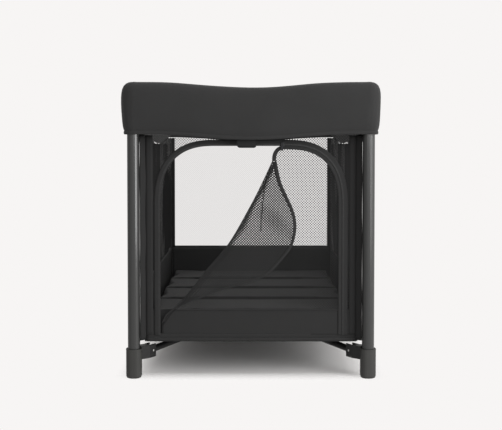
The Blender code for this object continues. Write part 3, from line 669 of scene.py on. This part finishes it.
def wales(half, low, high):
    """The net's raised upright yarns, as fins across its plane."""
    count = round(2 * half / WALE_PITCH)
    bm = bmesh.new()
    bmesh.ops.create_grid(bm, x_segments=count, y_segments=8, size=0.5)
    level = [e for e in bm.edges if abs(e.verts[0].co.y - e.verts[1].co.y) < 1e-6]
    bmesh.ops.delete(bm, geom=level, context="EDGES")
    for v in bm.verts:
        v.co = (v.co.x * 2 * half, -WALE_DEEP / 2, low + (v.co.y + 0.5) * (high - low))
    made = bmesh.ops.extrude_edge_only(bm, edges=bm.edges[:])["geom"]
    moved = [v for v in made if isinstance(v, bmesh.types.BMVert)]
    bmesh.ops.translate(bm, vec=(0, WALE_DEEP, 0), verts=moved)
    return bm


STRIP, REAR_STRIP = 0.020, 0.011
NET_FOOT = 0.262
HEM_HIGH, SEAM_HALF = 0.010, 0.006
LIFT = 0.0012
for name, half, length, look, lining, strip in (
    ("rear", WALL_X - EDGE_IN, REACH_X + CENTRE_OUT, CLEAR_NET, WALL_CLOTH, REAR_STRIP),
    ("left", WALL_Y, REACH_Y + CENTRE_OUT, NET, LINING, STRIP),
    ("right", WALL_Y, REACH_Y + CENTRE_OUT, NET, LINING, STRIP),
):
    top = top_line(half, length)
    foot = [Vector((-half, NET_FOOT)), Vector((half, NET_FOOT))]
    base = [Vector((-half, WALL_BOTTOM)), Vector((half, WALL_BOTTOM))]
    panel = hang(
        f"net_{name}", name, between(foot, top, 60, 40), look, bulge=0.0012,
    )
    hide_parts(f"wall_{name}")
    if name != "rear":
        fins = wales(half - STRIP, NET_FOOT, WALL_TOP - SLOPE * length)
        hang(f"wales_{name}", name, fins, YARN, bulge=0.0012)
    hang(
        f"foot_cloth_{name}", name, between(base, foot, 60, 18), lining,
        bulge=0.0010, thick=CLOTH_THICK,
    )
    for sign, end in ((-1, "first"), (1, "last")):
        outer = [Vector((sign * half, NET_FOOT)), Vector((sign * half, WALL_TOP - 0.001))]
        inner = [p - Vector((sign * strip, 0)) for p in outer]
        hang(
            f"edge_cloth_{name}_{end}", name, between(outer, inner, 50, 3), WALL_CLOTH,
            bulge=0.0004, lift=0.0010, thick=CLOTH_THICK,
        )
    tape_low, tape_high = [[p + Vector((0, z)) for p in foot] for z in (-SEAM_HALF, SEAM_HALF)]
    hang(
        f"tape_{name}", name, between(tape_low, tape_high, 60, 2), TAPE,
        bulge=0.0010, lift=LIFT, thick=TAPE_THICK,
    )
    hem = [p + Vector((0, HEM_HIGH)) for p in base]
    hang(
        f"hem_{name}", name, between(base, hem, 60, 2), TAPE,
        bulge=0.0010, lift=LIFT, thick=TAPE_THICK,
    )


# A strip of doubled cloth ties each corner of the walls to its post, from foot to band.
TIE_FROM, TIE_TO = (0.2885, 0.4508), (0.3045, 0.4640)
TIE_LOW, TIE_HIGH = WALL_BOTTOM + 0.004, WALL_TOP - 0.002
for corner, (sx, sy) in CORNERS.items():
    bm = bmesh.new()
    bmesh.ops.create_grid(bm, x_segments=4, y_segments=60, size=0.5)
    near = Vector((sx * TIE_FROM[0], sy * TIE_FROM[1], 0))
    far = Vector((sx * TIE_TO[0], sy * TIE_TO[1], 0))
    for v in bm.verts:
        share, z = v.co.x + 0.5, TIE_LOW + (v.co.y + 0.5) * (TIE_HIGH - TIE_LOW)
        sag = 0.0012 * noise.noise(Vector((share * 2, z * 12, sx + 3 * sy)))
        v.co = near.lerp(far, share) + Vector((sx, -sy, 0)) * sag + Vector((0, 0, z))
    gusset = new_piece(f"corner_tie_{corner}", bm, WALL_CLOTH, corner, smooth=60)
    skin = gusset.modifiers.new("cloth", "SOLIDIFY")
    skin.thickness = 0.0012
    skin.offset = 0


# ------------------------------------------------------------------ front wall and its doorway
# The front wall is net round an arched doorway. A zip runs up one side, over the arch and
# down the other, its two tapes stitched to the wall and to the door.
DOOR_HALF = 0.2535
DOOR_TOP = 0.6380
DOOR_BOTTOM = 0.1121
ARCH = Vector((0.155, 0.170))
ARCH_BEND = 2.5
BASE_TOP = 0.1810


def arch_line(steps=40):
    """The zip line, from its lower left end, over the arch, to its lower right end."""
    centre = Vector((DOOR_HALF, DOOR_TOP)) - ARCH
    right = []
    for i in range(steps + 1):
        angle = math.radians(90 * i / steps)
        right.append(Vector((
            centre.x + ARCH.x * math.sin(angle) ** (2 / ARCH_BEND),
            centre.y + ARCH.y * abs(math.cos(angle)) ** (2 / ARCH_BEND),
        )))
    right.append(Vector((DOOR_HALF, DOOR_BOTTOM)))
    left = [Vector((-p.x, p.y)) for p in reversed(right)]
    return left + right


ZIP_LINE = even(arch_line(), 240)
half = WALL_X - EDGE_IN
length = REACH_X + CENTRE_OUT


def stretch_of(line, low, high):
    """The part of a line between two shares of its length."""
    fine = even(line, 400)
    return fine[round(low * 400):round(high * 400) + 1]


# the net round the arch, in three stretches: up the left, over the top, down the right
KNEE_HIGH = 0.60
knee = next(i for i, p in enumerate(ZIP_LINE) if p.y > KNEE_HIGH) / 240
left_side = [Vector((-half, DOOR_BOTTOM)), Vector((-half, WALL_TOP))]
right_side = [Vector((half, WALL_TOP)), Vector((half, DOOR_BOTTOM))]
stretches = (
    ("left", stretch_of(ZIP_LINE, 0, knee), left_side),
    ("over", stretch_of(ZIP_LINE, knee, 1 - knee), top_line(half, length, count=60)),
    ("right", stretch_of(ZIP_LINE, 1 - knee, 1), right_side),
)
for name, inner, outer in stretches:
    bm = between(inner, outer, 60, 6)
    area = sum(f.calc_area() for f in bm.faces)
    piece = hang(f"net_front_{name}", "front", bm, NET, bulge=0.0006)
    if name == "over":
        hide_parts("wall_front")

SILL_TOP = DOOR_BOTTOM + 0.004
sill = [Vector((-half, WALL_BOTTOM)), Vector((half, WALL_BOTTOM))]
sill_top = [Vector((-half, SILL_TOP)), Vector((half, SILL_TOP))]
hang(
    "sill_cloth_front", "front", between(sill, sill_top, 60, 4), WALL_CLOTH,
    bulge=0.0006, lift=0.0006, thick=CLOTH_THICK,
)
hem = [p + Vector((0, HEM_HIGH)) for p in sill]
hang(
    "hem_front", "front", between(sill, hem, 60, 2), TAPE,
    bulge=0.0006, lift=0.0022, thick=TAPE_THICK,
)
for sign, word in ((-1, "left"), (1, "right")):
    outer = [Vector((sign * half, DOOR_BOTTOM)), Vector((sign * half, WALL_TOP - 0.001))]
    inner = [p - Vector((sign * STRIP, 0)) for p in outer]
    hang(
        f"edge_cloth_front_{word}", "front", between(outer, inner, 60, 3), WALL_CLOTH,
        bulge=0.0003, lift=0.0009, thick=CLOTH_THICK,
    )
    beside_zip = sign * (DOOR_HALF + 0.004)
    inner = [Vector((beside_zip, DOOR_BOTTOM)), Vector((beside_zip, BASE_TOP))]
    outer = [Vector((sign * half, DOOR_BOTTOM)), Vector((sign * half, BASE_TOP))]
    hang(
        f"base_cloth_front_{word}", "front", between(outer, inner, 12, 3), WALL_CLOTH,
        bulge=0.0003, lift=0.0006, thick=CLOTH_THICK,
    )

# the zip's tape lies on the wall round the arch, folded over its stitching
WALL_TAPE_OUT, WALL_TAPE_IN, ZIP_TAPE_THICK = 0.013, 0.004, 0.0014
hang(
    "zip_tape_wall", "front",
    between(beside(ZIP_LINE, -WALL_TAPE_IN), beside(ZIP_LINE, WALL_TAPE_OUT), 240, 5), TAPE,
    bulge=0.0002, lift=0.0024, thick=ZIP_TAPE_THICK,
)

# moulded acetal zip teeth, a little shiny
ZIP_PLASTIC = hard_finish("acetal zip teeth, black", "#303030", 0.8, 0.1, 0.05, Roughness=0.35)
TOOTH_PITCH, TOOTH_SIZE = 0.0032, (0.0017, 0.0016, 0.0042)


def teeth(name, line, wall, lift):
    """A moulded zip: a row of little blocks along a line."""
    run = sum((b - a).length for a, b in zip(line, line[1:]))
    spots = even(line, max(2, round(run / TOOTH_PITCH)))
    bm = bmesh.new()
    for a, b in zip(spots, spots[1:]):
        step = (b - a).normalized()
        made = bmesh.ops.create_cube(bm, size=1.0)["verts"]
        bmesh.ops.scale(bm, vec=TOOTH_SIZE, verts=made)
        turn = Matrix.Rotation(-math.atan2(step.y, step.x), 3, "Y")
        bmesh.ops.rotate(bm, matrix=turn, verts=made)
        bmesh.ops.translate(bm, vec=((a.x + b.x) / 2, 0, (a.y + b.y) / 2), verts=made)
    body, middle, _, outward = WALLS[wall]
    for v in bm.verts:
        v.co = Vector((v.co.x, middle.y + v.co.y, v.co.z)) + outward * lift
    bmesh.ops.recalc_face_normals(bm, faces=bm.faces)
    piece = new_piece(name, bm, ZIP_PLASTIC, body)
    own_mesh(piece)


teeth("zip_teeth_wall", ZIP_LINE, "front", 0.0026)


# ------------------------------------------------------------------ door: zipped-in part
# The door is one arch of net with a solid foot. Its right-hand part is still zipped in; the
# left-hand part is unzipped and turned back over it along a slanting fold.
FOLD = curve_through([
    (0.0584, 0.592), (0.0285, 0.528), (-0.0045, 0.4640), (-0.0600, 0.368), (-0.1200, 0.296),
    (-0.1760, 0.2250), (-0.2120, 0.1860), (-0.2475, 0.138),
])
ZIPPED_FROM = 0.088
split = next(i for i, p in enumerate(ZIP_LINE) if p.x > ZIPPED_FROM)
HELD = ZIP_LINE[split:]
ROUND = curve_through(
    [(0.0584, 0.592), (0.0590, 0.606), (0.0640, 0.620), (0.0740, 0.6300), tuple(HELD[0])], 16
)
FOLD_UP = list(reversed(FOLD))
DOOR_LEFT, DOOR_RIGHT, DOOR_LOW = -0.2475, DOOR_HALF - 0.001, 0.1125
base_cross = next(i for i, p in enumerate(FOLD_UP) if p.y > BASE_TOP)
left_of_net = FOLD_UP[base_cross:] + ROUND[1:]
right_of_net = [
    Vector((DOOR_RIGHT, BASE_TOP)), *reversed([p for p in HELD if p.y > BASE_TOP + 0.002])
]
right_top = [Vector((p.x - 0.001 if p.x > 0.2 else p.x, p.y - 0.001)) for p in right_of_net]
bm = between(left_of_net, right_top, 70, 44)
area = sum(f.calc_area() for f in bm.faces)
leaf = hang(
    "door_net", "front", bm, NET, bulge=0.0016, lift=-0.0004,
)
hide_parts("door_leaf")
left_of_base = [Vector((DOOR_LEFT, DOOR_LOW)), *FOLD_UP[:base_cross + 1]]
right_of_base = [Vector((DOOR_RIGHT, DOOR_LOW)), Vector((DOOR_RIGHT, BASE_TOP))]
hang(
    "door_base_cloth", "front", between(left_of_base, right_of_base, 14, 60), WALL_CLOTH,
    bulge=0.0010, lift=0.0002, thick=CLOTH_THICK,
)
seam = [FOLD_UP[base_cross] + Vector((0.003, -0.002)), Vector((DOOR_RIGHT, BASE_TOP - 0.002))]
seam_top = [p + Vector((0, 0.004)) for p in seam]
hang(
    "door_base_seam", "front", between(seam, seam_top, 60, 1), TAPE,
    bulge=0.0008, lift=0.0014, thick=0.0010,
)
hang(
    "zip_tape_door", "front",
    between(beside(HELD, -0.0025), beside(HELD, -0.0135), 160, 4), TAPE,
    bulge=0.0002, lift=0.0022, thick=ZIP_TAPE_THICK,
)
hang(
    "zip_tape_door_top", "front",
    between(beside(ROUND, 0.0005), beside(ROUND, -0.0105), 24, 4), TAPE,
    bulge=0.0002, lift=0.0024, thick=ZIP_TAPE_THICK,
)
fold_tape = FOLD_UP[2:]
hang(
    "door_fold_roll", "front",
    between(beside(fold_tape, 0.0004), beside(fold_tape, -0.0010), 80, 2), TAPE,
    bulge=0.0002, lift=0.0012, thick=TAPE_THICK,
)


# ------------------------------------------------------------------ door: turned-back flap
# The unzipped part hangs in front of the rest in a long S, its zip tape rolling over at the
# edge. It turns on the fold with its own body.
FREE = curve_through([
    (0.0600, 0.590), (0.0650, 0.566), (0.0745, 0.5300), (0.0920, 0.492), (0.1090, 0.4557),
    (0.1165, 0.425), (0.1165, 0.398), (0.1075, 0.362), (0.0880, 0.333), (0.0640, 0.305),
    (0.0407, 0.283), (0.0050, 0.266), (-0.0300, 0.255), (-0.0800, 0.2400), (-0.1300, 0.222),
    (-0.1720, 0.2050), (-0.2065, 0.1880), (-0.2320, 0.1700), (-0.2460, 0.1450),
], 160)
FLAP_PLANE = -0.4550
ROLL_OFF = 0.03


def flap_drape(x, z):
    """How far the flap stands out: it rolls off the fold and ripples towards its free edge."""
    ripple = noise.noise(Vector(((x + z) * 9.0, (z - x) * 3.0, 4.0)))
    return 0.0030 + 0.0035 * max(0.0, ripple + 0.3)


def on_flap(name, bm, look, lift=0.0, thick=0.0):
    """Lays a flat pattern on the flap, rolled off its fold and draped, on the flap's body."""
    for v in bm.verts:
        x, z = v.co.x, v.co.z
        fold_x = next((p.x for p in FOLD if p.y <= z), FOLD[-1].x)
        off = min(1.0, max(0.0, (x - fold_x) / ROLL_OFF))
        off = off * off * (3 - 2 * off)
        v.co = (x, FLAP_PLANE + 0.0008 - lift - off * flap_drape(x, z), z)
    bmesh.ops.recalc_face_normals(bm, faces=bm.faces)
    if next(iter(bm.faces)).normal.y > 0:
        bmesh.ops.reverse_faces(bm, faces=bm.faces)
    piece = new_piece(name, bm, look, "door_flap", smooth=60)
    if thick:
        skin = piece.modifiers.new("cloth", "SOLIDIFY")
        skin.thickness = thick
        skin.offset = 0
    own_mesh(piece)
    return piece


bm = between(FOLD, even(FREE, 80), 80, 40)
area = sum(f.calc_area() for f in bm.faces)
flap = on_flap("flap_net", bm, SHADED_SLACK_NET)
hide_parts("door_flap")
# the zip tape faces forward at the top and has rolled edge-on towards the floor
ROLLED = [
    p + (q - p) * (0.16 + 0.84 * (1 - i / 160) ** 1.3)
    for i, (p, q) in enumerate(zip(FREE, beside(FREE, 0.0105)))
]
on_flap(
    "flap_zip_tape", between(beside(FREE, -0.0002), ROLLED, 160, 4), TAPE,
    lift=0.0008, thick=0.0014,
)
on_flap(
    "flap_zip_edge", between(beside(FREE, -0.0010), beside(FREE, 0.0004), 160, 1), TAPE,
    lift=0.0012, thick=0.0020,
)
# a soft pleat runs down from where the zip stops
pleat = curve_through(
    [(0.0560, 0.580), (0.0440, 0.545), (0.0350, 0.500), (0.0300, 0.455), (0.0270, 0.400)], 40
)
on_flap(
    "flap_pleat", between(beside(pleat, -0.0020), beside(pleat, 0.0020), 40, 2), SHADED_SLACK_NET,
    lift=0.0010, thick=TAPE_THICK,
)


# ------------------------------------------------------------------ mattress
# Four foam-and-board panels in one quilted charcoal cover, hinged at the creases between
# them. Each is crowned, with soft edges.
MATTRESS_LOOK = woven(
    "brushed polyester cover, charcoal", "#181818", 1.8, 0.3, 0.10,
    Roughness=0.9, Sheen_Weight=0.08, Sheen_Roughness=0.6,
)
SIMULATED_FRAMES = 18


def plain_pad(size):
    """A box with rounded edges."""
    bm = bmesh.new()
    bmesh.ops.create_cube(bm, size=1.0)
    bmesh.ops.scale(bm, vec=size, verts=bm.verts)
    bmesh.ops.bevel(
        bm, geom=bm.edges[:], offset=0.004, segments=2, profile=0.5, affect="EDGES", material=-1,
    )
    return bm


def stuffed_pad(size):
    """The cover of one panel, sewn as a box and blown up by its foam, then held to its size."""
    mesh = bpy.data.meshes.new("cover")
    bm = plain_pad(size - Vector((0.003, 0.0006, 0.004)))
    bm.to_mesh(mesh)
    bm.free()
    cover = bpy.data.objects.new("cover", mesh)
    scene.collection.objects.link(cover)
    even_out = cover.modifiers.new("even", "REMESH")
    even_out.mode = "VOXEL"
    even_out.voxel_size = 0.0060
    cloth = cover.modifiers.new("cloth", "CLOTH")
    cloth.settings.use_pressure = True
    cloth.settings.uniform_pressure_force = 4.0
    cloth.settings.effector_weights.gravity = 0.0
    cloth.settings.mass = 0.25
    cloth.settings.tension_stiffness = cloth.settings.compression_stiffness = 18.0
    cloth.settings.bending_stiffness = 0.6
    cloth.point_cache.frame_start, cloth.point_cache.frame_end = 1, SIMULATED_FRAMES
    for at in range(1, SIMULATED_FRAMES + 1):
        scene.frame_set(at)
    blown_up = cover.evaluated_get(bpy.context.evaluated_depsgraph_get())
    shaped = bpy.data.meshes.new_from_object(blown_up)
    scene.frame_set(1)
    bpy.data.objects.remove(cover, do_unlink=True)
    bm = bmesh.new()
    bm.from_mesh(shaped)
    bpy.data.meshes.remove(shaped)
    for v in bm.verts:
        for axis in range(3):
            limit = size[axis] / 2
            v.co[axis] = max(-limit, min(limit, v.co[axis]))
    return bm


for sign, end in ((-1, "front"), (1, "rear")):
    for part in ("inner", "outer"):
        name = f"mattress_{end}_{part}"
        low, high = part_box(name)
        size, centre = high - low, (low + high) / 2
        if name == "mattress_front_inner":
            limits = size - Vector((0.001, 0.0004, 0.001))
            first_pad = stuffed_pad(limits)
        bm = first_pad.copy()
        if sign > 0:
            bmesh.ops.rotate(bm, matrix=Matrix.Rotation(math.pi, 3, "Z"), verts=bm.verts)
        bmesh.ops.translate(bm, vec=centre, verts=bm.verts)
        pad = new_piece(f"{name}_pad", bm, MATTRESS_LOOK, name, smooth=180)
        soft = pad.modifiers.new("soft", "SUBSURF")
        soft.levels = soft.render_levels = 1
        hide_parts(name)
        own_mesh(pad)

        # the floor cloth under it is coated polyester, drawn here in the plain-woven wall cloth;
        # cut at the creases, folded with the mattress
        bm = bmesh.new()
        bmesh.ops.create_grid(bm, x_segments=40, y_segments=16, size=0.5)
        span = Vector((2 * (WALL_X - EDGE_IN), size.y + 0.001, 1))
        if part == "outer":
            span.y += 0.005
        bmesh.ops.scale(bm, vec=span, verts=bm.verts)
        shift = sign * 0.0025 if part == "outer" else 0.0
        bmesh.ops.translate(bm, vec=(0, centre.y + shift, low.z - 0.0022), verts=bm.verts)
        for v in bm.verts:
            v.co.z -= 0.0008 * abs(noise.noise(Vector((v.co.x * 8, v.co.y * 8, 2))))
        sling = new_piece(f"floor_cloth_{end}_{part}", bm, WALL_CLOTH, name, smooth=60)
        skin = sling.modifiers.new("cloth", "SOLIDIFY")
        skin.thickness = 0.001
        skin.offset = 0
        if part == "inner" and end == "front":
            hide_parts("floor_sling")
        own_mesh(sling)


# ------------------------------------------------------------------ zip slider and pull
# Die-cast zinc, plated black nickel: darker and duller than steel.
BLACK_NICKEL = hard_finish(
    "zinc, black nickel plate", "#2c2c2e", 0.8, 0.1, 0.08, Roughness=0.42, Metallic=0.6,
)
repaint(BLACK_NICKEL, "zip_slider", "zip_pull")
